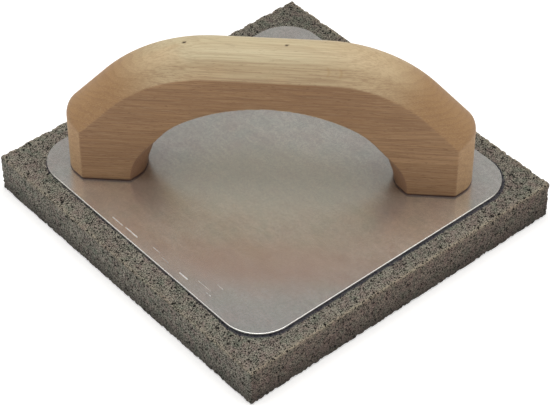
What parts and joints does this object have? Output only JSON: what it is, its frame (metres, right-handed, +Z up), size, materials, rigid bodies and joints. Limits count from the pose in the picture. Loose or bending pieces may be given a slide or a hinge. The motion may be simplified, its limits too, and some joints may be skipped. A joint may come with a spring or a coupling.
{
  "type": "rubber hand float",
  "caption": "Square sponge-rubber hand float with a thin metal backing plate and an arched wooden handle set corner to corner, for finishing mortar, plaster and concrete.",
  "frame": {"origin": "centre of the sponge rubber's flat working face, on the surface that the float stands on", "axes": "+Z up, out of the working face towards the handle; +X along the handle, which is the square pad's diagonal; +Y across the handle"},
  "size_m": [0.2874, 0.2874, 0.107],
  "materials": {
    "sponge_rubber": "matte, open cellular sponge rubber with small dark pores",
    "contact_cement": "dried contact cement, seen only as a thin dark line",
    "sheet_aluminium": "satin mill finish with fine rolling lines and a few scratches, bright sheared edge",
    "beech": "bare sanded beech with short dark flecks along the grain",
    "plated_steel": "zinc-plated steel"
  },
  "bodies": {
    "root": {"pad": "sponge_rubber", "cement": "contact_cement", "backing_plate": "sheet_aluminium", "handle": "beech", "screw_left_outer": "plated_steel", "screw_left_inner": "plated_steel", "screw_right_inner": "plated_steel", "screw_right_outer": "plated_steel"}
  },
  "joints": []
}
